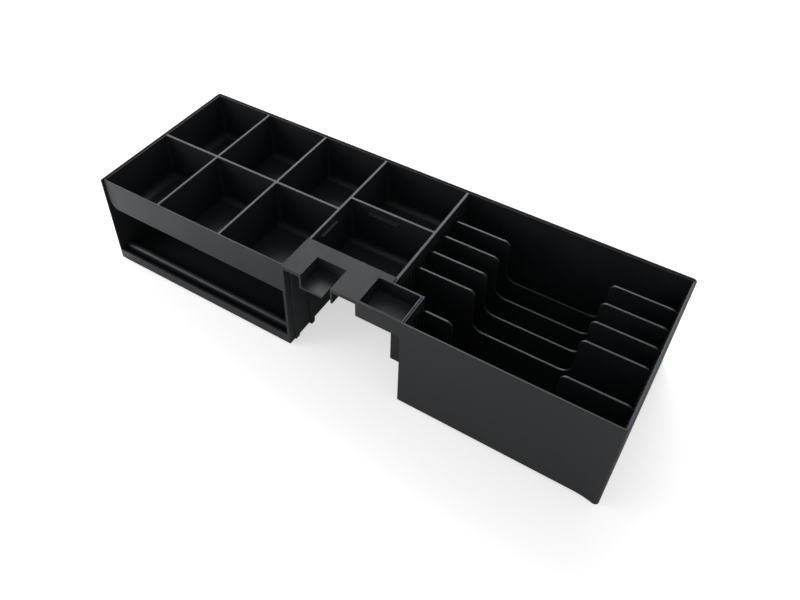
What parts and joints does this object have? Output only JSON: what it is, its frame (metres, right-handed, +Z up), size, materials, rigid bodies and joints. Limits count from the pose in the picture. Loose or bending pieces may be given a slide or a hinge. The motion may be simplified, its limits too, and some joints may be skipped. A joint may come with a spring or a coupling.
{
  "type": "cash drawer insert",
  "caption": "Drop-in cash tray with coin cups over a storage bay, a pocketed bridge over a lock space, and a note box with lift-out dividers.",
  "frame": {"origin": "middle of the tray, on the plane of its feet", "axes": "+X to the right along the tray, +Y to the back, +Z up"},
  "size_m": [0.4466, 0.15, 0.092],
  "materials": {
    "tray_plastic": "black moulded plastic with a fine satin grain",
    "divider_plastic": "black moulded plastic, a little smoother than the tray"
  },
  "bodies": {
    "tray": {"bay_frame": "tray_plastic", "bay_floor": "tray_plastic", "coin_tub": "tray_plastic", "lock_bridge": "tray_plastic", "note_box": "tray_plastic"},
    "note_divider_1": {"note_divider_1": "divider_plastic"},
    "note_divider_2": {"note_divider_2": "divider_plastic"},
    "note_divider_3": {"note_divider_3": "divider_plastic"},
    "note_divider_4": {"note_divider_4": "divider_plastic"},
    "note_divider_5": {"note_divider_5": "divider_plastic"}
  },
  "joints": [
    {"name": "note_divider_1_lift", "type": "slide", "parent": "tray", "child": "note_divider_1", "axis": [0, 0, 1], "range_m": [0, 0.09]},
    {"name": "note_divider_2_lift", "type": "slide", "parent": "tray", "child": "note_divider_2", "axis": [0, 0, 1], "range_m": [0, 0.09]},
    {"name": "note_divider_3_lift", "type": "slide", "parent": "tray", "child": "note_divider_3", "axis": [0, 0, 1], "range_m": [0, 0.09]},
    {"name": "note_divider_4_lift", "type": "slide", "parent": "tray", "child": "note_divider_4", "axis": [0, 0, 1], "range_m": [0, 0.09]},
    {"name": "note_divider_5_lift", "type": "slide", "parent": "tray", "child": "note_divider_5", "axis": [0, 0, 1], "range_m": [0, 0.09]}
  ]
}
